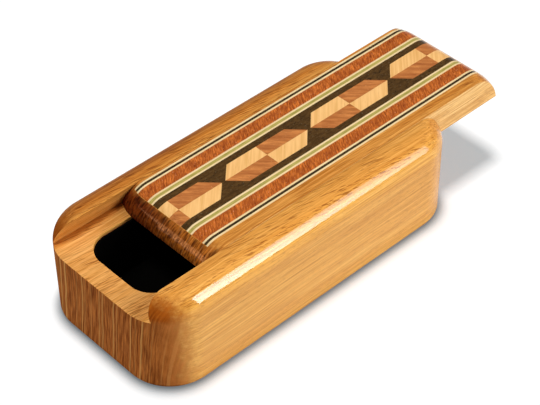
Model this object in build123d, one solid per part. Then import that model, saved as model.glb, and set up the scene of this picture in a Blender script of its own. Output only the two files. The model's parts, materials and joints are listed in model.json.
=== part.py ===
from build123d import *
from math import radians, tan
import os

# Slide-top box: a round-edged block with a dovetail groove along its top and a lined pocket below it.
# The lid is a dovetail slab with a pieced band of woods let into its top.
# Frame: origin under the middle of the base, +X along the box to the end where the lid stands out,
# +Y to the back, +Z up. Millimetres.

# Block, as it is with the lid shut
box_length = 105.1
box_width = 50.0
box_height = 28.85
corner_radius = 13.0      # upright corners, seen from above
top_round = 6.35          # round over the top edge, running across body and lid alike
base_ease = 1.2           # soft edge round the base

# Lid and the dovetail groove that carries it
groove_depth = 6.2
groove_slope = 20.0       # lean of the groove's sides from upright, in degrees
lid_side_play = 0.1       # gap between lid and groove on each side, measured across
lid_floor_play = 0.1      # gap under the lid
lid_opening = 22.35       # how far the lid stands open
lid_front_edge = 3.7      # bare wood in front of the band, at the top
lid_back_edge = 0.75      # bare wood behind the band, at the top

# Pocket and its lining
end_wall = 6.5            # wood between the pocket and each end of the block
shelf_ledge = 5.6         # width of the groove floor on each long side of the pocket
pocket_floor = 4.5        # wood left under the pocket
pocket_corner = 7.4
rim_ease = 0.3            # broken edge round the top of the pocket
lining_thickness = 0.6
lining_drop = 1.0         # bare wood between the groove floor and the top of the lining

# Pieced band in the lid, cut from two like halves, one of them turned end for end
band_depth = 0.85
hexagon_count = 4
hexagon_half = 4.36       # from the middle line to a hexagon's long side
hexagon_gap = 1.15        # dark wood between the tips of two hexagons
first_hexagon = 6.3       # from the lid's near end to the middle of the first hexagon
last_hexagon = 8.32       # from the middle of the last hexagon to the lid's far end
dark_border_width = 2.03
cream_line_width = 0.58
black_line_width = 0.76
green_line_width = 0.88
red_band_width = 3.87

# Strips on each side of the hexagons, from the middle outwards
strips = [
    ("dark_border", dark_border_width),
    ("inner_cream_line", cream_line_width),
    ("green_line", green_line_width),
    ("middle_cream_line", cream_line_width),
    ("red_band", red_band_width),
    ("band_edge_line", cream_line_width),
    ("black_line", black_line_width),
    ("outer_cream_line", cream_line_width),
]

# Working margin: how far a cutting or trimming solid runs past the block
spare = 5.0

# Sizes that follow from those above
shelf_height = box_height - groove_depth
band_half = hexagon_half + sum(width for name, width in strips)
band_middle = (lid_front_edge - lid_back_edge) / 2
lid_top_half = band_half + (lid_front_edge + lid_back_edge) / 2
groove_mouth_half = lid_top_half + lid_side_play
groove_lean = tan(radians(groove_slope))
groove_floor_half = groove_mouth_half + groove_depth * groove_lean
pocket_length = box_length - 2 * end_wall
pocket_width = 2 * (groove_floor_half - shelf_ledge)
hexagon_pitch = (box_length - first_hexagon - last_hexagon) / (hexagon_count - 1)
hexagon_tip = (hexagon_pitch - hexagon_gap) / 2
hexagon_half_flat = hexagon_tip - hexagon_half
band_underside = box_height - band_depth


def rounded_block():
    plan = RectangleRounded(box_length, box_width, corner_radius)
    block = extrude(plan, box_height)
    block = fillet(block.faces().sort_by(Axis.Z)[-1].edges(), top_round)
    return fillet(block.faces().sort_by(Axis.Z)[0].edges(), base_ease)


def dovetail_bar(half_at_top, floor_height):
    # Bar of dovetail section along X; its sides pass through half_at_top at the top of the block
    low = half_at_top + (box_height - floor_height) * groove_lean
    high = half_at_top - spare * groove_lean
    top = box_height + spare
    section = Polygon(
        (-low, floor_height), (low, floor_height), (high, top), (-high, top), align=None
    )
    length = box_length + 2 * spare
    return extrude(Plane.YZ.offset(-length / 2) * section, length)


def round_cornered(length, width, corner, low, high):
    plan = RectangleRounded(length, width, corner)
    return Pos(0, 0, low) * extrude(plan, high - low)


def box_body(block):
    body = block - dovetail_bar(groove_mouth_half, shelf_height)
    body -= round_cornered(pocket_length, pocket_width, pocket_corner, pocket_floor, shelf_height + spare)
    shelf = next(face for face in body.faces().filter_by(Plane.XY) if face.inner_wires())
    return chamfer(shelf.inner_wires()[0].edges(), rim_ease)


def pocket_lining():
    top = shelf_height - lining_drop
    skin = 2 * lining_thickness
    outside = round_cornered(pocket_length, pocket_width, pocket_corner, pocket_floor, top)
    hollow = round_cornered(
        pocket_length - skin,
        pocket_width - skin,
        pocket_corner - lining_thickness,
        pocket_floor + lining_thickness,
        top + spare,
    )
    return outside - hollow


def band_bed():
    # Everything that the band takes up in the lid, before it is cut to the rounded top
    bed = Box(
        box_length + 2 * spare,
        2 * band_half,
        band_depth + spare,
        align=(Align.CENTER, Align.CENTER, Align.MIN),
    )
    return Pos(0, band_middle, band_underside) * bed


def lid_blank(block):
    slab = dovetail_bar(lid_top_half, shelf_height + lid_floor_play) & block
    return slab - band_bed()


def band_piece(block, corners):
    # Piece of the band with these corners, along the lid and across from the band's middle line
    places = [(along, band_middle + across) for along, across in corners]
    plan = Pos(0, 0, band_underside) * Polygon(*places, align=None)
    return extrude(plan, band_depth + spare, dir=(0, 0, 1)) & block


def band_strips(block):
    pieces = {}
    end = box_length / 2 + spare
    for side, sign in (("front", -1), ("back", 1)):
        inner = hexagon_half
        for name, width in strips:
            outer = inner + width
            corners = [(-end, sign * inner), (end, sign * inner), (end, sign * outer), (-end, sign * outer)]
            pieces[f"{side}_{name}"] = band_piece(block, corners)
            inner = outer
    return pieces


def hexagon_middle(number):
    return first_hexagon - box_length / 2 + (number - 1) * hexagon_pitch


def hexagon_blocks(block):
    # Four blocks to a hexagon; the end hexagons are cut short by the ends of the lid
    pieces = {}
    for number in range(1, hexagon_count + 1):
        middle = hexagon_middle(number)
        for end, way in (("near", -1), ("far", 1)):
            flat = middle + way * hexagon_half_flat
            tip = middle + way * hexagon_tip
            for side, sign in (("front", -1), ("back", 1)):
                long_side = sign * hexagon_half
                corners = [(middle, 0), (middle, long_side), (flat, long_side), (tip, 0)]
                pieces[f"hexagon_{number}_{end}_{side}"] = band_piece(block, corners)
    return pieces


def dark_wedges(block):
    # Dark wood between the slanted ends of one hexagon and the next
    pieces = {}
    for number in range(1, hexagon_count):
        tip = hexagon_middle(number) + hexagon_tip
        next_tip = tip + hexagon_gap
        for side, sign in (("front", -1), ("back", 1)):
            long_side = sign * hexagon_half
            flat = tip - hexagon_half
            next_flat = next_tip + hexagon_half
            corners = [(tip, 0), (next_tip, 0), (next_flat, long_side), (flat, long_side)]
            pieces[f"dark_wedge_{number}_{side}"] = band_piece(block, corners)
    return pieces


whole_block = rounded_block()
body_pieces = {"box_body": box_body(whole_block), "pocket_lining": pocket_lining()}
lid_pieces = {"lid_blank": lid_blank(whole_block)}
lid_pieces.update(band_strips(whole_block))
lid_pieces.update(hexagon_blocks(whole_block))
lid_pieces.update(dark_wedges(whole_block))

os.makedirs("parts", exist_ok=True)
for name, piece in body_pieces.items():
    export_step(piece, f"parts/{name}.step")
for name, piece in lid_pieces.items():
    export_step(Pos(lid_opening, 0, 0) * piece, f"parts/{name}.step")
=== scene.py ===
import bmesh
import bpy
import json
from math import cos, radians, sin, tan
from mathutils import Euler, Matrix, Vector

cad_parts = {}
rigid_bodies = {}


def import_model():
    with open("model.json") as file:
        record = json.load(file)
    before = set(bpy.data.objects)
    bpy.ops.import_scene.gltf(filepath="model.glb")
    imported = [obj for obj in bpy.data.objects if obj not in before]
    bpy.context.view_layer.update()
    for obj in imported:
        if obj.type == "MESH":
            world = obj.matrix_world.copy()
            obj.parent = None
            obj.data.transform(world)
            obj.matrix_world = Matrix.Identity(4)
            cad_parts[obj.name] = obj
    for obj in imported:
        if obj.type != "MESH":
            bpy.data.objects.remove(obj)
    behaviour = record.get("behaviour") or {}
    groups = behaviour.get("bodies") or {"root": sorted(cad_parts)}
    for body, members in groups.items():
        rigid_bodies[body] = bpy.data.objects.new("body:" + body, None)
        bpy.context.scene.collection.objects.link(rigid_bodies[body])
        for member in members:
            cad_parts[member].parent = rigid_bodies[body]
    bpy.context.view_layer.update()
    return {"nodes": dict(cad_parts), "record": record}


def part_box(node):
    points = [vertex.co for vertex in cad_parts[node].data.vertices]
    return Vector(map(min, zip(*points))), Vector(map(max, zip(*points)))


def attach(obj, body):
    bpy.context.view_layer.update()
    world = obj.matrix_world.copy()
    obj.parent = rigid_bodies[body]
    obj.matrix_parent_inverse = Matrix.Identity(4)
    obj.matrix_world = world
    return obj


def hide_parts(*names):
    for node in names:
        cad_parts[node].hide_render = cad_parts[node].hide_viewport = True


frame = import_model()
mm = 0.001
hair = 0.001 * mm        # points closer than this count as one
mostly = 0.9             # share of a direction from which on it counts as that way

# Places read from the frame
bodyLow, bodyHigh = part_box("box_body")
lidLow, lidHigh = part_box("lid_blank")
liningLow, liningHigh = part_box("pocket_lining")
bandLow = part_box("front_outer_cream_line")[0]
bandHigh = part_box("back_outer_cream_line")[1]
boxTop = bodyHigh.z
lidShift = (lidLow.x + lidHigh.x) / 2      # how far the lid stands open
print("frame:", len(frame["nodes"]), "nodes, lid open", round(lidShift / mm, 1), "mm")


# Modelling helpers: each one does what a hand would do in the viewport
def makeActive(piece):
    bpy.ops.object.select_all(action="DESELECT")
    piece.select_set(True)
    bpy.context.view_layer.objects.active = piece


def startBlock(name, low, high):
    bpy.ops.object.select_all(action="DESELECT")
    bpy.ops.mesh.primitive_cube_add(size=1, location=(low + high) / 2)
    block = bpy.context.object
    block.name = name
    block.scale = high - low
    bpy.ops.object.transform_apply(location=True, rotation=True, scale=True)
    return block


def pickEdges(piece, wanted):
    makeActive(piece)
    bpy.ops.object.mode_set(mode="EDIT")
    bpy.ops.mesh.select_mode(type="EDGE")
    bpy.ops.mesh.select_all(action="DESELECT")
    mesh = bmesh.from_edit_mesh(piece.data)
    for edge in mesh.edges:
        edge.select_set(wanted(edge))
    bmesh.update_edit_mesh(piece.data)


def pickFaces(piece, wanted):
    makeActive(piece)
    bpy.ops.object.mode_set(mode="EDIT")
    bpy.ops.mesh.select_mode(type="FACE")
    bpy.ops.mesh.select_all(action="DESELECT")
    mesh = bmesh.from_edit_mesh(piece.data)
    for face in mesh.faces:
        face.select_set(wanted(face))
    bmesh.update_edit_mesh(piece.data)


def bevelEdges(piece, wanted, size, steps):
    pickEdges(piece, wanted)
    bpy.ops.mesh.bevel(offset=size, segments=steps, profile=0.5, affect="EDGES", clamp_overlap=False)
    bpy.ops.object.mode_set(mode="OBJECT")


def isUpright(edge):
    a, b = (corner.co for corner in edge.verts)
    return abs(a.z - b.z) > mostly * (a - b).length


def facesUp(face):
    return face.normal.z > mostly


def levelAt(height):
    return lambda edge: all(abs(corner.co.z - height) < hair for corner in edge.verts)


def cutWith(piece, cutter, operation):
    change = piece.modifiers.new("cut", "BOOLEAN")
    change.operation = operation
    change.solver = "EXACT"
    change.object = cutter
    makeActive(piece)
    bpy.ops.object.modifier_apply(modifier=change.name)
    bpy.data.objects.remove(cutter)


def smoothOver(piece, angle):
    makeActive(piece)
    bpy.ops.object.shade_smooth_by_angle(angle=radians(angle))
    evener = piece.modifiers.new("even normals", "WEIGHTED_NORMAL")
    evener.keep_sharp = True
    bpy.ops.object.modifier_apply(modifier=evener.name)


# The rounded block that body and lid are both cut from
blockShape = {
    "cornerRadius": 13.0 * mm,    # upright corners, seen from above
    "cornerSteps": 32,
    "topRound": 6.35 * mm,
    "topSteps": 20,
    "baseRound": 1.2 * mm,
    "baseSteps": 4,
}


def roundedBlock(name, shift):
    offset = Vector((shift, 0, 0))
    block = startBlock(name, bodyLow + offset, bodyHigh + offset)
    bevelEdges(block, isUpright, blockShape["cornerRadius"], blockShape["cornerSteps"])
    bevelEdges(block, levelAt(boxTop), blockShape["topRound"], blockShape["topSteps"])
    bevelEdges(block, levelAt(0), blockShape["baseRound"], blockShape["baseSteps"])
    return block


# The dovetail groove and the lid that runs in it
grooveShape = {
    "lean": tan(radians(20)),     # slope of the groove's sides
    "sidePlay": 0.1 * mm,
    "floorPlay": 0.1 * mm,
    "arris": 0.14 * mm,           # worn edge along rails, lid and pocket rim
    "arrisSteps": 2,
    "arrisAngle": 40,             # sharper edges than this are worn
    "smoothAngle": 30,
    "spare": 5 * mm,              # how far a cutting bar runs past the block
}
lidTopHalf = lidHigh.y - (boxTop - lidLow.z) * grooveShape["lean"]
shelfHeight = lidLow.z - grooveShape["floorPlay"]


def dovetailBar(topHalf, floorHeight, shift):
    spare = grooveShape["spare"]
    lowHalf = topHalf + (boxTop - floorHeight) * grooveShape["lean"]
    highHalf = topHalf - spare * grooveShape["lean"]
    low = Vector((bodyLow.x + shift - spare, -lowHalf, floorHeight))
    high = Vector((bodyHigh.x + shift + spare, lowHalf, boxTop + spare))
    bar = startBlock("dovetailBar", low, high)
    pickFaces(bar, facesUp)
    bpy.ops.transform.resize(value=(1, highHalf / lowHalf, 1), center_override=(shift, 0, high.z))
    bpy.ops.object.mode_set(mode="OBJECT")
    return bar


def isArris(edge):
    # Sharp outer edges that run level; the curved edges at the rails' ends stay crisp
    a, b = (corner.co for corner in edge.verts)
    isSharp = edge.is_convex and edge.calc_face_angle(0) > radians(grooveShape["arrisAngle"])
    return isSharp and abs(a.z - b.z) < hair


def makeBody():
    body = roundedBlock("boxBody", 0)
    cutWith(body, dovetailBar(lidTopHalf + grooveShape["sidePlay"], shelfHeight, 0), "DIFFERENCE")
    above = Vector((0, 0, shelfHeight + grooveShape["spare"] - liningHigh.z))
    pocket = startBlock("pocketCutter", liningLow, liningHigh + above)
    bevelEdges(pocket, isUpright, liningShape["cornerRadius"], liningShape["cornerSteps"])
    cutWith(body, pocket, "DIFFERENCE")
    bevelEdges(body, isArris, grooveShape["arris"], grooveShape["arrisSteps"])
    smoothOver(body, grooveShape["smoothAngle"])
    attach(body, "box")
    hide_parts("box_body")
    return body


def makeLid():
    lid = roundedBlock("lidBlank", lidShift)
    cutWith(lid, dovetailBar(lidTopHalf, lidLow.z, lidShift), "INTERSECT")
    spare = Vector((grooveShape["spare"], 0, 0))
    bedLow = Vector((lidLow.x, bandLow.y, bandLow.z)) - spare
    bedHigh = Vector((lidHigh.x, bandHigh.y, boxTop + grooveShape["spare"])) + spare
    cutWith(lid, startBlock("bandBed", bedLow, bedHigh), "DIFFERENCE")
    smoothOver(lid, grooveShape["smoothAngle"])
    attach(lid, "lid")
    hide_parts("lid_blank")
    return lid


# Flocked lining of the pocket
liningShape = {
    "cornerRadius": 7.4 * mm,
    "cornerSteps": 20,
    "footRound": 1.2 * mm,        # where the walls turn into the floor
    "footSteps": 5,
    "thickness": 0.6 * mm,
    "smoothAngle": 40,
}


def makeLining():
    lining = startBlock("pocketLining", liningLow, liningHigh)
    bevelEdges(lining, isUpright, liningShape["cornerRadius"], liningShape["cornerSteps"])
    bevelEdges(lining, levelAt(liningLow.z), liningShape["footRound"], liningShape["footSteps"])
    pickFaces(lining, facesUp)
    bpy.ops.mesh.delete(type="FACE")
    bpy.ops.object.mode_set(mode="OBJECT")
    skin = lining.modifiers.new("skin", "SOLIDIFY")
    skin.thickness = liningShape["thickness"]
    skin.offset = -1
    skin.use_even_offset = True
    makeActive(lining)
    bpy.ops.object.modifier_apply(modifier=skin.name)
    smoothOver(lining, liningShape["smoothAngle"])
    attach(lining, "box")
    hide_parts("pocket_lining")
    return lining


boxBody = makeBody()
print("body:", len(boxBody.data.polygons), "faces")
lidBlank = makeLid()
print("lid:", len(lidBlank.data.polygons), "faces")
pocketLining = makeLining()
print("lining:", len(pocketLining.data.polygons), "faces")

# The pieced band keeps its own pieces from the frame
bandCrispAngle = 30
replaced = {"box_body", "lid_blank", "pocket_lining"}
bandPieces = {name: piece for name, piece in frame["nodes"].items() if name not in replaced}
for piece in bandPieces.values():
    weld = piece.modifiers.new("weld", "WELD")
    weld.merge_threshold = hair
    split = piece.modifiers.new("crisp edges", "EDGE_SPLIT")
    split.split_angle = radians(bandCrispAngle)
    piece.data.polygons.foreach_set("use_smooth", [True] * len(piece.data.polygons))
print("band:", len(bandPieces), "pieces")


# Node helpers
def addNode(tree, kind, inputs=None, **settings):
    made = tree.nodes.new("ShaderNode" + kind)
    for key, value in settings.items():
        setattr(made, key, value)
    for socket, value in (inputs or {}).items():
        if isinstance(value, bpy.types.NodeSocket):
            tree.links.new(value, made.inputs[socket])
        else:
            made.inputs[socket].default_value = value
    return made


def mathOf(tree, operation, first, second=0.0):
    return addNode(tree, "Math", {0: first, 1: second}, operation=operation).outputs[0]


def product(tree, first, second):
    return mathOf(tree, "MULTIPLY", first, second)


def absolute(tree, value):
    return mathOf(tree, "ABSOLUTE", value)


def rangeOf(tree, value, low, high, start=0.0, end=1.0):
    bounds = {"Value": value, "From Min": low, "From Max": high, "To Min": start, "To Max": end}
    return addNode(tree, "MapRange", bounds, interpolation_type="SMOOTHSTEP").outputs["Result"]


def blendOf(tree, share, first, second, way="MIX"):
    mixed = addNode(tree, "Mix", {0: share, 6: first, 7: second}, data_type="RGBA", blend_type=way)
    return mixed.outputs[2]


def tintOf(tree, share, colour, shade):
    return blendOf(tree, share, colour, shade, "MULTIPLY")


def noiseOf(tree, place, detail=2.0, roughness=0.5):
    values = {"Vector": place, "Scale": 1.0, "Detail": detail, "Roughness": roughness}
    return addNode(tree, "TexNoise", values).outputs["Fac"]


def newGroup(name, takes, gives):
    group = bpy.data.node_groups.new(name, "ShaderNodeTree")
    for label, value in takes.items():
        kind = "NodeSocketVector" if value is None else "NodeSocketFloat"
        socket = group.interface.new_socket(label, in_out="INPUT", socket_type=kind)
        if value is not None:
            socket.default_value = value
    for label in gives:
        group.interface.new_socket(label, in_out="OUTPUT", socket_type="NodeSocketFloat")
    return group, group.nodes.new("NodeGroupInput").outputs, group.nodes.new("NodeGroupOutput").inputs


def useGroup(tree, name, inputs):
    return addNode(tree, "Group", inputs, node_tree=bpy.data.node_groups[name]).outputs


def vectorOf(tree, operation, first, second):
    return addNode(tree, "VectorMath", {0: first, 1: second}, operation=operation).outputs[0]


def scaledOf(tree, place, scale):
    return addNode(tree, "VectorMath", {0: place, 3: scale}, operation="SCALE").outputs[0]


# A group for noise drawn out along the grain: soft tone and thin lines
grainShape = {
    "driftScale": 0.03,           # slow wander of the grain
    "sway": 4.0,
    "toneRange": (0.28, 0.72),
    "lineShift": (7, 31, 53),
    "lineScale": (1.4, 2.6, 2.6),
    "lineRange": (0.55, 0.72),
}


def makeGrainGroup():
    tree, takes, gives = newGroup(
        "drawnGrain", {"Place": None, "Length": 40.0, "Spacing": 1.0, "Waver": 0.5}, ("Tone", "Line")
    )
    slow = scaledOf(tree, takes["Place"], grainShape["driftScale"])
    drift = addNode(tree, "TexNoise", {"Vector": slow, "Scale": 1.0, "Detail": 1.0}).outputs["Color"]
    drift = vectorOf(tree, "SUBTRACT", drift, (0.5, 0.5, 0.5))
    drift = scaledOf(tree, drift, product(tree, takes["Waver"], grainShape["sway"]))
    bent = vectorOf(tree, "ADD", takes["Place"], drift)
    sizes = {0: takes["Length"], 1: takes["Spacing"], 2: takes["Spacing"]}
    drawn = vectorOf(tree, "DIVIDE", bent, addNode(tree, "CombineXYZ", sizes).outputs[0])
    tone = rangeOf(tree, noiseOf(tree, drawn, 3.0, 0.6), *grainShape["toneRange"])
    tree.links.new(tone, gives["Tone"])
    finer = addNode(tree, "Mapping", {
        "Vector": drawn, "Location": grainShape["lineShift"], "Scale": grainShape["lineScale"],
    }).outputs[0]
    tree.links.new(rangeOf(tree, noiseOf(tree, finer, 1.0), *grainShape["lineRange"]), gives["Line"])


# A group for open pores: short dashes along the grain
poreShape = {
    "level": 0.72,                # noise above this is a pore, less so much for each share
    "perShare": 0.3,
    "edge": 0.12,
}


def makePoreGroup():
    tree, takes, gives = newGroup(
        "openPores", {"Place": None, "Length": 4.0, "Width": 0.4, "Share": 0.4}, ("Pore",)
    )
    sizes = {0: takes["Length"], 1: takes["Width"], 2: takes["Width"]}
    drawn = vectorOf(tree, "DIVIDE", takes["Place"], addNode(tree, "CombineXYZ", sizes).outputs[0])
    more = product(tree, takes["Share"], poreShape["perShare"])
    level = mathOf(tree, "SUBTRACT", poreShape["level"], more)
    above = mathOf(tree, "SUBTRACT", noiseOf(tree, drawn, 2.0, 0.6), level)
    tree.links.new(rangeOf(tree, above, 0.0, poreShape["edge"]), gives["Pore"])


# A group for the cut ends of the fibres: pale ring lines and streaks that stand near upright
cutShape = {
    "driftScale": 0.07,
    "drift": 1.5,                 # how far the lines wander, in millimetres
    "ringRange": (0.52, 0.70),
    "streakRange": (0.3, 0.7),
}


def makeEndGroup():
    tree, takes, gives = newGroup(
        "cutEnds",
        {"Place": None, "Spacing": 1.5, "Lean": 0.12, "Width": 0.4, "Reach": 8.0},
        ("Ring", "Streak"),
    )
    slow = scaledOf(tree, takes["Place"], cutShape["driftScale"])
    split = addNode(tree, "SeparateXYZ", {0: takes["Place"]}).outputs
    across = mathOf(tree, "ADD", split["Y"], product(tree, split["Z"], takes["Lean"]))
    across = mathOf(tree, "ADD", across, product(tree, noiseOf(tree, slow, 2.0), cutShape["drift"]))
    count = mathOf(tree, "DIVIDE", across, takes["Spacing"])
    lines = {"W": count, "Scale": 1.0, "Detail": 3.0}
    rings = addNode(tree, "TexNoise", lines, noise_dimensions="1D").outputs["Fac"]
    tree.links.new(rangeOf(tree, rings, *cutShape["ringRange"]), gives["Ring"])
    upright = addNode(tree, "CombineXYZ", {
        0: mathOf(tree, "DIVIDE", across, takes["Width"]),
        1: mathOf(tree, "DIVIDE", split["Z"], takes["Reach"]),
    }).outputs[0]
    streak = rangeOf(tree, noiseOf(tree, upright, 3.0, 0.6), *cutShape["streakRange"])
    tree.links.new(streak, gives["Streak"])


makeGrainGroup()
makePoreGroup()
makeEndGroup()


def newMaterial(name):
    material = bpy.data.materials.new(name)
    material.use_nodes = True
    return material, material.node_tree, material.node_tree.nodes["Principled BSDF"]


def paint(piece, material):
    piece.data.materials.clear()
    piece.data.materials.append(material)


def millimetres(tree, turn=0.0, shift=0.0):
    place = addNode(tree, "TexCoord").outputs["Object"]
    scaled = addNode(tree, "Mapping", {
        "Vector": place, "Location": (-shift / mm, 0, 0), "Scale": (1 / mm, 1 / mm, 1 / mm),
    }).outputs[0]
    return addNode(tree, "Mapping", {"Vector": scaled, "Rotation": (0, 0, radians(turn))}).outputs[0]


lacquer = {"roughness": 0.4, "spread": 0.1, "gloss": 0.0, "coatRoughness": 0.085, "coatIor": 1.465}


def lacquerOver(tree, shader, grain):
    duller = lacquer["roughness"] + lacquer["spread"]
    rough = rangeOf(tree, grain["Tone"], 0.0, 1.0, duller, lacquer["roughness"])
    tree.links.new(rough, shader.inputs["Roughness"])
    shader.inputs["Specular IOR Level"].default_value = lacquer["gloss"]
    shader.inputs["Coat Roughness"].default_value = lacquer["coatRoughness"]
    shader.inputs["Coat IOR"].default_value = lacquer["coatIor"]


# The honey-coloured wood of body and lid
honeyLook = {
    "pale": (0.92, 0.485, 0.12, 1),
    "mid": (0.70, 0.315, 0.058, 1),
    "warm": (0.74, 0.285, 0.040, 1),
    "deep": (0.48, 0.165, 0.020, 1),
    "pore": (0.25, 0.068, 0.008, 1),
    "warmShare": 0.5,
    "grain": {"Length": 60.0, "Spacing": 1.0, "Waver": 0.5},
    "fibres": {"Length": 24.0, "Spacing": 0.38, "Waver": 0.3},
    "bands": {"Length": 90.0, "Spacing": 5.0, "Waver": 0.8},
    "streaks": {"Length": 120.0, "Spacing": 1.3, "Waver": 0.4},
    "pores": {"Length": 6.0, "Width": 0.34, "Share": 0.65},
    "poreTurn": 11,                          # pores run a little towards the front, seen from above
    "poreBands": (0.2, 0.8),
    "poreShares": (0.3, 0.8),                # of the pores, between the bands and on them
    "sidePores": 0.3,                        # of the pores, on the upright sides
    "endCalm": 0.5,                          # of the fine grain, where the surface turns to an end
    "mottleScale": (0.6, 0.6, 0.35),
    "mottleReach": 0.5,                      # how far the mottle breaks up the edge of the near end
    "mottleRange": (0.3, 0.7),
    "sideCoat": 0.7,                         # lacquer on the upright sides, against 1 on top
    "backCoat": 0.15,
    "shelfCoat": 0.1,                        # the groove's floor is only rubbed down
    "endStreaks": (0.1, 0.9),
    "endCoats": (0.3, 1.2),                  # lacquer soaks into the cut ends unevenly
    "grooveShade": (0.96, 0.98, 1.10, 1),    # tint on the groove's sides
    "shelfPaintedSheen": (1.06, 1.10, 1.46, 1),     # painted light and sheen on the groove's floor, near the ends
    "shelfPaintedShade": (0.75, 0.75, 0.86, 1),      # painted shade on the groove's floor beside the pocket
    "underRailLight": (1.08, 1.12, 1.30, 1),      # painted light on the groove's floor under the lean of the rails, against their shadow
    "backRailDarkShaded": (0.55, 0.345, 0.185, 1),     # redder streaks along the back rail, with painted shade that darkens the whole rail
    "backRailPaleShaded": (0.92, 0.78, 0.62, 1),
    "rim": (0.42, 0.16, 0.042, 1),           # painted shade on the pocket's wall between groove floor and lining
    "farTurnShade": (0.87, 0.80, 0.70, 1),        # painted shade where top and sides turn to the far end
    "bump": 0.02,
    "bumpStrength": 0.6,
}

# Its cut ends: upright lines on the body, short red-brown flecks on the lid's rounded end
endLooks = {
    "honey_wood": {
        "plain": (0.38, 0.117, 0.021, 1),
        "light": (0.51, 0.174, 0.039, 1),
        "dark": (0.207, 0.049, 0.0098, 1),
        "mid": (0.66, 0.215, 0.043, 1),
        "ring": (0.95, 0.50, 0.15, 1),
        "ringShare": 0.6,
        "cut": {"Spacing": 1.1, "Lean": 0.12, "Width": 0.4, "Reach": 8.0},
        "lined": (0.6, 0.98),                # turn of the surface over which the lines come in
        "lines": (0.2, 1.0),
        "high": (0.74, 0.53, 0.21, 1),       # painted shade on the rails' ends
        "atBack": (1, 1, 1, 1),
        "paintedLightAtFront": (1, 1, 1, 1),
        "tone": (1, 1, 1, 1),                # tint of the flat top
        "side": (1.06, 1.15, 1.08, 1),       # painted light on the long sides
        "coat": 0.05,
        "grain": 0.55,
    },
    "honey_wood_lid": {
        "plain": (0.32, 0.046, 0.004, 1),
        "light": (0.60, 0.125, 0.014, 1),
        "dark": (0.06, 0.005, 0.001, 1),
        "mid": (0.76, 0.155, 0.016, 1),
        "ring": (0.85, 0.36, 0.14, 1),
        "ringShare": 0.15,
        "cut": {"Spacing": 0.8, "Lean": 0.12, "Width": 0.55, "Reach": 2.2},
        "lined": (0.1, 0.4),
        "lines": (0.2, 0.9),
        "high": (1, 1, 1, 1),
        # painted shade towards the back and painted light towards the front of the lid's near end
        "atBack": (0.27, 0.24, 0.30, 1),
        "paintedLightAtFront": (0.86, 1.28, 1.4, 1),
        "tone": (0.94, 0.87, 0.80, 1),
        # painted light and sheen on the lid's long sides
        "side": (1.08, 1.41, 2.4, 1),
        "coat": 0.5,
        "grain": 0.85,
    },
}

# Where one look gives way to the next as the surface turns, by the parts of its normal
turns = {
    "nearStart": 0.25,
    "nearEnd": (0.08, 0.66),
    "farEnd": (0.75, 0.98),
    "farTurnShade": (0.05, 0.5),
    "calm": (0.05, 0.5),
    "up": (0.2, 0.8),
    "flatTop": (0.8, 0.97),
    "level": (0.9, 0.98),
    "rail": (0.1, 0.5),
    "side": (0.4, 0.9),
    "upright": (-0.1, -0.02),
    "grooveSide": (0.5, 0.9),
    "overhang": (-0.3, -0.1),
    "topCoat": (0.0, 0.5),
    "backCoat": (0.05, 0.5),
}

# And where it does so along the box, in millimetres
shelfLevel = shelfHeight / mm
mouthHalf = lidTopHalf / mm
spots = {
    "shelf": (shelfLevel + 0.1, shelfLevel + 0.3),
    "aboveShelf": (shelfLevel - 0.4, shelfLevel + 1.6),
    "pastPocket": (34.0, 46.0),
    "underRailLight": (mouthHalf - 0.6, mouthHalf + 0.8),
    "backRail": (mouthHalf - 0.6, mouthHalf + 2.6),
    "acrossEnd": (-12.0, 12.0),
    "rimLength": (liningHigh.x / mm, liningHigh.x / mm + 0.3),
    "rimWidth": (liningHigh.y / mm, liningHigh.y / mm + 0.3),
    "rimTop": (liningHigh.z / mm, shelfLevel - 0.1),
    "rimFoot": (liningLow.z / mm - 1.0, liningLow.z / mm - 0.5),
}


def rimMask(tree, spot):
    # The pocket's walls: below the groove floor and within the lining's outline
    along = rangeOf(tree, absolute(tree, spot["X"]), *spots["rimLength"], 1.0, 0.0)
    across = rangeOf(tree, absolute(tree, spot["Y"]), *spots["rimWidth"], 1.0, 0.0)
    below = rangeOf(tree, spot["Z"], *spots["rimTop"], 1.0, 0.0)
    above = rangeOf(tree, spot["Z"], *spots["rimFoot"])
    return product(tree, product(tree, along, across), product(tree, below, above))


def mottleOf(tree, place):
    cell = addNode(tree, "Mapping", {"Vector": place, "Scale": honeyLook["mottleScale"]}).outputs[0]
    return noiseOf(tree, cell, 4.0, 0.65)


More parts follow.
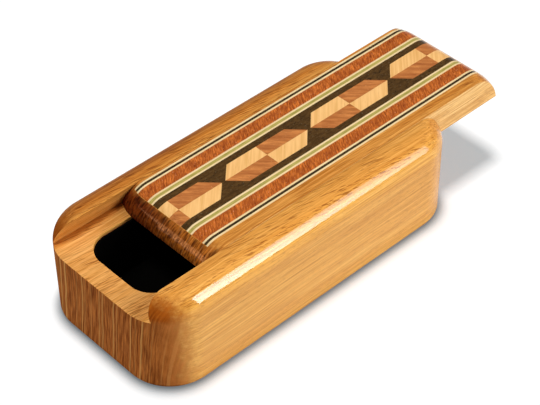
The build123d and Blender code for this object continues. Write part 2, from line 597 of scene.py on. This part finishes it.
def honeyMasks(tree, place, mottle):
    # Which way the surface faces and where it lies on the box
    facing = addNode(tree, "SeparateXYZ", {0: addNode(tree, "TexCoord").outputs["Normal"]}).outputs
    spot = addNode(tree, "SeparateXYZ", {0: place}).outputs
    lengthwise = absolute(tree, facing["X"])
    sidewise = absolute(tree, facing["Y"])
    broken = product(tree, mottle, honeyLook["mottleReach"])
    turned = mathOf(tree, "SUBTRACT", broken, mathOf(tree, "ADD", facing["X"], turns["nearStart"]))
    nearEnd = rangeOf(tree, turned, *turns["nearEnd"])
    farEnd = rangeOf(tree, facing["X"], *turns["farEnd"])
    overhang = rangeOf(tree, facing["Z"], *turns["overhang"], 1.0, 0.0)
    upright = rangeOf(tree, facing["Z"], *turns["upright"])
    low = rangeOf(tree, spot["Z"], *spots["shelf"], 1.0, 0.0)
    atBack = rangeOf(tree, spot["Y"], *spots["backRail"])
    shelf = product(tree, low, rangeOf(tree, facing["Z"], *turns["level"]))
    return {
        "lengthwise": lengthwise,
        "endFace": mathOf(tree, "MAXIMUM", nearEnd, farEnd),
        "farTurnShade": rangeOf(tree, facing["X"], *turns["farTurnShade"]),
        "calm": rangeOf(tree, lengthwise, *turns["calm"], 1.0, honeyLook["endCalm"]),
        "up": rangeOf(tree, facing["Z"], *turns["up"], honeyLook["sidePores"], 1.0),
        "flatTop": rangeOf(tree, facing["Z"], *turns["flatTop"]),
        "grooveSide": product(tree, overhang, rangeOf(tree, sidewise, *turns["grooveSide"])),
        "side": product(tree, rangeOf(tree, sidewise, *turns["side"]), upright),
        "shelf": shelf,
        "backRail": product(tree, atBack, rangeOf(tree, facing["Z"], *turns["rail"])),
        "pastPocket": rangeOf(tree, absolute(tree, spot["X"]), *spots["pastPocket"]),
        "underRailLight": rangeOf(tree, absolute(tree, spot["Y"]), *spots["underRailLight"]),
        "aboveShelf": rangeOf(tree, spot["Z"], *spots["aboveShelf"]),
        "acrossEnd": rangeOf(tree, spot["Y"], *spots["acrossEnd"]),
        "rim": rimMask(tree, spot),
        "topCoat": rangeOf(tree, facing["Z"], *turns["topCoat"], honeyLook["sideCoat"], 1.0),
        "backCoat": rangeOf(tree, facing["Y"], *turns["backCoat"], 1.0, honeyLook["backCoat"]),
        "shelfCoat": rangeOf(tree, shelf, 0.0, 1.0, 1.0, honeyLook["shelfCoat"]),
    }


def longGrain(tree, place, grain, pores, masks, ends):
    look = honeyLook
    fibres = useGroup(tree, "drawnGrain", {"Place": place, **look["fibres"]})
    bands = useGroup(tree, "drawnGrain", {"Place": place, **look["bands"]})
    colour = blendOf(tree, grain["Tone"], look["mid"], look["pale"])
    colour = blendOf(tree, product(tree, bands["Tone"], look["warmShare"]), colour, look["warm"])
    fine = product(tree, masks["calm"], ends["grain"])
    colour = blendOf(tree, product(tree, fibres["Tone"], fine), colour, look["deep"])
    colour = blendOf(tree, product(tree, grain["Line"], fine), colour, look["deep"])
    clusters = rangeOf(tree, bands["Tone"], *look["poreBands"], *look["poreShares"])
    poreShare = product(tree, product(tree, pores["Pore"], masks["up"]), clusters)
    return blendOf(tree, poreShare, colour, look["pore"])


def tintLightAndShadeByPlace(tree, place, colour, masks, ends):
    # The wood's own tone on the flat top, with painted light and shade on the sides, groove, back rail
    # and far end
    look = honeyLook
    colour = tintOf(tree, masks["flatTop"], colour, ends["tone"])
    colour = tintOf(tree, masks["grooveSide"], colour, look["grooveShade"])
    # painted light on the long sides
    colour = tintOf(tree, masks["side"], colour, ends["side"])
    # Groove floor: painted sheen near the ends, painted shade beside the pocket, painted light under the
    # rails
    shelfPaintedTone = blendOf(tree, masks["pastPocket"], look["shelfPaintedShade"], look["shelfPaintedSheen"])
    shelfPaintedTone = blendOf(tree, masks["underRailLight"], shelfPaintedTone, look["underRailLight"])
    colour = tintOf(tree, masks["shelf"], colour, shelfPaintedTone)
    # Back rail: redder streaks, and painted shade over the whole rail
    streaks = useGroup(tree, "drawnGrain", {"Place": place, **look["streaks"]})
    backRailShadedTone = blendOf(tree, streaks["Tone"], look["backRailDarkShaded"], look["backRailPaleShaded"])
    colour = tintOf(tree, masks["backRail"], colour, backRailShadedTone)
    # painted shade where the surface turns to the far end
    return tintOf(tree, masks["farTurnShade"], colour, look["farTurnShade"])


def cutEndColour(tree, cut, mottle, masks, ends):
    colour = blendOf(tree, cut["Streak"], ends["dark"], ends["mid"])
    colour = blendOf(tree, product(tree, cut["Ring"], ends["ringShare"]), colour, ends["ring"])
    light = rangeOf(tree, mottle, *honeyLook["mottleRange"])
    plain = blendOf(tree, light, ends["plain"], ends["light"])
    lined = rangeOf(tree, masks["lengthwise"], *ends["lined"], *ends["lines"])
    colour = blendOf(tree, lined, plain, colour)
    # painted shade on the rails' ends, above the groove floor
    colour = tintOf(tree, masks["aboveShelf"], colour, ends["high"])
    # painted shade towards the back and painted light towards the front of the end
    acrossEndPaintedTone = blendOf(tree, masks["acrossEnd"], ends["paintedLightAtFront"], ends["atBack"])
    return tintOf(tree, 1.0, colour, acrossEndPaintedTone)


def makeHoneyWood(name, shift):
    look, ends = honeyLook, endLooks[name]
    material, tree, shader = newMaterial(name)
    place = millimetres(tree, 0, shift)
    slanted = millimetres(tree, look["poreTurn"], shift)
    mottle = mottleOf(tree, place)
    masks = honeyMasks(tree, place, mottle)
    grain = useGroup(tree, "drawnGrain", {"Place": place, **look["grain"]})
    pores = useGroup(tree, "openPores", {"Place": slanted, **look["pores"]})
    cut = useGroup(tree, "cutEnds", {"Place": place, **ends["cut"]})
    colour = longGrain(tree, place, grain, pores, masks, ends)
    colour = tintLightAndShadeByPlace(tree, place, colour, masks, ends)
    colour = blendOf(tree, masks["endFace"], colour, cutEndColour(tree, cut, mottle, masks, ends))
    # painted shade on the pocket's wall above the lining
    colour = blendOf(tree, masks["rim"], colour, look["rim"])
    tree.links.new(colour, shader.inputs["Base Color"])

    soaked = rangeOf(tree, cut["Streak"], *look["endStreaks"], *look["endCoats"])
    soaked = product(tree, soaked, ends["coat"])
    shares = {"Value": masks["endFace"], "To Min": 1.0, "To Max": soaked}
    coat = addNode(tree, "MapRange", shares).outputs["Result"]
    for part in ("topCoat", "backCoat", "shelfCoat"):
        coat = product(tree, coat, masks[part])
    tree.links.new(coat, shader.inputs["Coat Weight"])
    height = mathOf(tree, "SUBTRACT", grain["Tone"], pores["Pore"])
    relief = {"Height": height, "Distance": look["bump"] * mm, "Strength": look["bumpStrength"]}
    tree.links.new(addNode(tree, "Bump", relief).outputs[0], shader.inputs["Normal"])
    lacquerOver(tree, shader, grain)
    return material


# The woods of the pieced band; turn is the way the grain runs, in degrees from the lid's length
bandLooks = {
    "cream_veneer": {
        "pale": (0.90, 0.695, 0.385, 1), "deep": (0.80, 0.58, 0.285, 1), "pore": (0.66, 0.40, 0.17, 1),
        "turn": 0, "length": 18.0, "spacing": 0.5, "line": 0.35,
        "pores": 0.25, "poreLength": 3.0, "poreWidth": 0.25,
        "fleck": (0.98, 0.80, 0.52, 1), "flecks": 0.2, "patch": 0.1,
    },
    "green_veneer": {
        "pale": (0.57, 0.45, 0.125, 1), "deep": (0.34, 0.28, 0.06, 1), "pore": (0.22, 0.22, 0.03, 1),
        "turn": 0, "length": 4.0, "spacing": 0.4, "line": 0.5,
        "pores": 0.4, "poreLength": 2.0, "poreWidth": 0.3,
        "fleck": (0.72, 0.62, 0.24, 1), "flecks": 0.3, "patch": 0.3,
    },
    "black_veneer": {
        "pale": (0.075, 0.045, 0.018, 1), "deep": (0.040, 0.024, 0.010, 1),
        "pore": (0.008, 0.005, 0.003, 1),
        "turn": 0, "length": 20.0, "spacing": 0.4, "line": 0.4,
        "pores": 0.3, "poreLength": 4.0, "poreWidth": 0.3,
        "fleck": (0.08, 0.05, 0.022, 1), "flecks": 0.2, "patch": 0.2,
    },
    "red_wood": {
        "pale": (0.84, 0.235, 0.036, 1), "deep": (0.30, 0.058, 0.009, 1),
        "pore": (0.14, 0.018, 0.003, 1),
        "turn": -55, "length": 2.4, "spacing": 0.38, "line": 0.6,
        "pores": 0.6, "poreLength": 2.0, "poreWidth": 0.24,
        "fleck": (0.86, 0.40, 0.20, 1), "flecks": 0.3, "patch": 0.6,
    },
    "dark_wood": {
        "pale": (0.114, 0.054, 0.0135, 1), "deep": (0.052, 0.025, 0.0054, 1),
        "pore": (0.018, 0.011, 0.004, 1),
        "turn": 3, "length": 2.0, "spacing": 0.8, "line": 0.4,
        "pores": 0.5, "poreLength": 1.0, "poreWidth": 0.5,
        "fleck": (0.16, 0.12, 0.07, 1), "flecks": 0.35, "patch": 0.3,
    },
    "pale_maple": {
        "pale": (0.98, 0.585, 0.23, 1), "deep": (0.80, 0.42, 0.13, 1), "pore": (0.66, 0.30, 0.085, 1),
        "turn": -45, "length": 22.0, "spacing": 0.8, "line": 0.2,
        "pores": 0.2, "poreLength": 3.0, "poreWidth": 0.25,
        "fleck": (0.96, 0.60, 0.26, 1), "flecks": 0.2, "patch": 0.2,
    },
    "brown_wood": {
        "pale": (0.72, 0.275, 0.074, 1), "deep": (0.40, 0.12, 0.030, 1),
        "pore": (0.20, 0.050, 0.014, 1),
        "turn": 45, "length": 9.0, "spacing": 1.1, "line": 0.7,
        "pores": 0.45, "poreLength": 4.0, "poreWidth": 0.22,
        "fleck": (0.72, 0.34, 0.13, 1), "flecks": 0.3, "patch": 0.5,
    },
}

# What the band's woods have in common
bandShared = {
    "waver": 0.3,
    "poreShare": 0.7,
    "fleckShare": 0.6,
    "fleckSize": {"Length": 0.7, "Width": 0.4},
    "patchSize": {"Length": 2.5, "Spacing": 2.0},
}


def makeBandWood(name, look):
    shared = bandShared
    material, tree, shader = newMaterial(name)
    place = millimetres(tree, look["turn"])
    along = {"Place": place, "Waver": shared["waver"]}
    grain = useGroup(tree, "drawnGrain", {**along, "Length": look["length"], "Spacing": look["spacing"]})
    patches = useGroup(tree, "drawnGrain", {**along, **shared["patchSize"]})
    pores = useGroup(tree, "openPores", {
        "Place": place, "Length": look["poreLength"], "Width": look["poreWidth"], "Share": look["pores"],
    })
    flecks = useGroup(tree, "openPores", {"Place": place, "Share": look["flecks"], **shared["fleckSize"]})
    colour = blendOf(tree, grain["Tone"], look["deep"], look["pale"])
    colour = blendOf(tree, product(tree, patches["Tone"], look["patch"]), colour, look["deep"])
    colour = blendOf(tree, product(tree, grain["Line"], look["line"]), colour, look["deep"])
    colour = blendOf(tree, product(tree, pores["Pore"], shared["poreShare"]), colour, look["pore"])
    colour = blendOf(tree, product(tree, flecks["Pore"], shared["fleckShare"]), colour, look["fleck"])
    tree.links.new(colour, shader.inputs["Base Color"])
    shader.inputs["Coat Weight"].default_value = 1
    lacquerOver(tree, shader, grain)
    return material


# The lining's black flock, so dark that it also paints in the pocket's shade
flockAndShadeLook = {
    "dark": (0.0008, 0.0007, 0.0006, 1),
    "light": (0.003, 0.0027, 0.0024, 1),
    "fibre": 0.12,                # in millimetres
    "shadeRange": (0.35, 0.65),
    "roughRange": (0.3, 0.7),
    "roughness": (0.95, 0.8),
    "specular": 0.02,
    "bump": 0.15,
}


def makeFlockAndShade():
    material, tree, shader = newMaterial("black_flock")
    place = millimetres(tree)
    fuzz = noiseOf(tree, scaledOf(tree, place, 1 / flockAndShadeLook["fibre"]), 2.0, 0.7)
    shade = rangeOf(tree, fuzz, *flockAndShadeLook["shadeRange"])
    colour = blendOf(tree, shade, flockAndShadeLook["dark"], flockAndShadeLook["light"])
    tree.links.new(colour, shader.inputs["Base Color"])
    rough = rangeOf(tree, fuzz, *flockAndShadeLook["roughRange"], *flockAndShadeLook["roughness"])
    tree.links.new(rough, shader.inputs["Roughness"])
    bump = addNode(tree, "Bump", {"Height": fuzz, "Distance": flockAndShadeLook["bump"] * mm})
    tree.links.new(bump.outputs[0], shader.inputs["Normal"])
    shader.inputs["Specular IOR Level"].default_value = flockAndShadeLook["specular"]
    return material


finishes = {name: makeBandWood(name, look) for name, look in bandLooks.items()}
slotOf = {part["node"]: part["material_slot"] for part in frame["record"]["subparts"]}
for name, piece in bandPieces.items():
    paint(piece, finishes[slotOf[name]])
paint(boxBody, makeHoneyWood("honey_wood", 0))
paint(lidBlank, makeHoneyWood("honey_wood_lid", lidShift))
paint(pocketLining, makeFlockAndShade())
print("finishes:", len(bpy.data.materials))


# Floor, lamps and world
floorLook = {
    "size": 4.0,
    "colour": (0.74, 0.715, 0.70, 1),
    "glow": 0.415,
    "glowColour": (0.905, 1.02, 1.065, 1),
    "contact": (0.42, 0.43, 0.44, 1),     # shade where the box meets the floor
    "contactReach": 3.3 * mm,
    "contactRange": (0.4, 1.0),
}
worldLook = {"fill": 0.12, "horizon": 0.3, "overhead": 0.1, "rise": (0.1, 0.5)}

# Lamps, placed by azimuth from the front and elevation; fade is where a lamp starts to dim and how far
lampLook = {
    "softbox": {
        "azimuth": 32, "elevation": 27, "distance": 1.0,
        "width": 0.4, "height": 0.6, "watts": 12.2, "fade": (0.15, 0.25),
    },
    "stripCard": {                # the softbox as the rails reflect it, set in front of it to be seen
        "azimuth": 32, "elevation": 27, "distance": 0.9,
        "width": 0.36, "height": 0.54, "watts": 9.9, "fade": (0.15, 0.25),
    },
    "topLight": {
        "azimuth": -90, "elevation": 75, "distance": 0.9,
        "width": 0.3, "height": 0.2, "watts": 5.2,
    },
    "overhead": {
        "azimuth": 180, "elevation": 87, "distance": 0.9,
        "width": 0.2, "height": 0.2, "watts": 6.5,
    },
    "backCard": {                 # warm reflection on the lid's near end
        "azimuth": -118, "elevation": 10, "distance": 1.0,
        "width": 0.3, "height": 0.35, "watts": 2.6, "colour": (1, 0.44, 0.18),
    },
}


def seenRay(tree):
    path = addNode(tree, "LightPath").outputs
    straight = {0: path["Is Camera Ray"], 1: path["Is Glossy Ray"]}
    seen = addNode(tree, "Math", straight, use_clamp=True).outputs[0]
    return addNode(tree, "Math", {0: seen, 1: path["Is Transmission Ray"]}, use_clamp=True).outputs[0]


def makeFloor():
    bpy.ops.object.select_all(action="DESELECT")
    bpy.ops.mesh.primitive_plane_add(size=floorLook["size"], location=(0, 0, 0))
    floor = bpy.context.object
    floor.name = "floor"
    material = bpy.data.materials.new("paleFloor")
    material.use_nodes = True
    tree = material.node_tree
    tree.nodes.clear()
    near = addNode(tree, "AmbientOcclusion", {"Distance": floorLook["contactReach"]}).outputs["AO"]
    bare = rangeOf(tree, near, *floorLook["contactRange"])
    shade = blendOf(tree, bare, floorLook["contact"], (1, 1, 1, 1))
    cover = addNode(tree, "BsdfDiffuse", {"Color": floorLook["colour"]})
    shaded = addNode(tree, "BsdfDiffuse", {"Color": tintOf(tree, 1.0, shade, floorLook["colour"])})
    glowColour = tintOf(tree, 1.0, shade, floorLook["glowColour"])
    glow = addNode(tree, "Emission", {"Color": glowColour, "Strength": floorLook["glow"]})
    both = addNode(tree, "AddShader", {0: shaded.outputs[0], 1: glow.outputs[0]})
    pick = addNode(tree, "MixShader", {0: seenRay(tree), 1: cover.outputs[0], 2: both.outputs[0]})
    addNode(tree, "OutputMaterial", {"Surface": pick.outputs[0]})
    paint(floor, material)
    return floor


def makeWorld():
    world = bpy.data.worlds.new("studio")
    bpy.context.scene.world = world
    world.use_nodes = True
    tree = world.node_tree
    tree.nodes.clear()
    way = addNode(tree, "TexCoord").outputs["Generated"]
    height = addNode(tree, "SeparateXYZ", {0: way}).outputs["Z"]
    lowest, highest = worldLook["rise"]
    room = addNode(tree, "MapRange", {
        "Value": height, "From Min": lowest, "From Max": highest,
        "To Min": worldLook["horizon"], "To Max": worldLook["overhead"],
    }).outputs["Result"]
    isCamera = addNode(tree, "LightPath").outputs["Is Camera Ray"]
    shown = mathOf(tree, "MAXIMUM", room, isCamera)
    seen = addNode(tree, "Background", {"Strength": shown})
    fill = addNode(tree, "Background", {"Strength": worldLook["fill"]})
    for light in (seen, fill):
        light.inputs["Color"].default_value = (1, 1, 1, 1)
    pick = addNode(tree, "MixShader", {0: seenRay(tree), 1: fill.outputs[0], 2: seen.outputs[0]})
    addNode(tree, "OutputWorld", {"Surface": pick.outputs[0]})


def makeLamp(name, look):
    turn, rise = radians(look["azimuth"]), radians(look["elevation"])
    way = Vector((sin(turn) * cos(rise), -cos(turn) * cos(rise), sin(rise)))
    bpy.ops.object.light_add(type="AREA", location=way * look["distance"])
    lamp = bpy.context.object
    lamp.name = name
    lamp.rotation_euler = way.to_track_quat("Z", "Y").to_euler()
    lamp.data.shape = "RECTANGLE"
    lamp.data.size = look["width"]
    lamp.data.size_y = look["height"]
    lamp.data.energy = look["watts"]
    lamp.data.color = look.get("colour", (1, 1, 1))
    if "fade" in look:
        fadeAcross(lamp, *look["fade"])
    return lamp


def fadeAcross(lamp, start, low):
    # The lamp grows dimmer towards its far side
    lamp.data.use_nodes = True
    tree = lamp.data.node_tree
    place = addNode(tree, "NewGeometry").outputs["Parametric"]
    across = addNode(tree, "SeparateXYZ", {0: place}).outputs["X"]
    strength = rangeOf(tree, across, start, 1.0, 1.0, low)
    tree.links.new(strength, tree.nodes["Emission"].inputs["Strength"])


def linkLamp(name, piece, state):
    group = bpy.data.collections.new(name + "Link")
    group.objects.link(piece)
    lamps[name].light_linking.receiver_collection = group
    group.collection_objects[0].light_linking.link_state = state


floor = makeFloor()
makeWorld()
lamps = {name: makeLamp(name, look) for name, look in lampLook.items()}
for name in ("overhead", "topLight", "softbox"):
    lamps[name].visible_glossy = False
for name in ("stripCard", "backCard"):        # seen only as reflections
    lamps[name].visible_diffuse = False

# The overhead lamp is for the floor and its shadow, the strip for the rails;
# the others leave out the floor
for name in ("softbox", "topLight", "backCard"):
    linkLamp(name, floor, "EXCLUDE")
linkLamp("overhead", floor, "INCLUDE")
linkLamp("stripCard", boxBody, "INCLUDE")
print("lamps:", len(lamps))

# Camera at the photograph's place
cameraPlace = {
    "location": (-0.218604, -0.241106, 0.314872),
    "turn": (47.53541, 0.38776, -43.29330),
    "lens": 113.1396,
}
bpy.ops.object.camera_add(
    location=cameraPlace["location"],
    rotation=Euler([radians(angle) for angle in cameraPlace["turn"]]),
)
camera = bpy.context.object
camera.data.lens = cameraPlace["lens"]
camera.data.sensor_width = 36
bpy.context.scene.camera = camera
bpy.context.scene.view_settings.view_transform = "Standard"
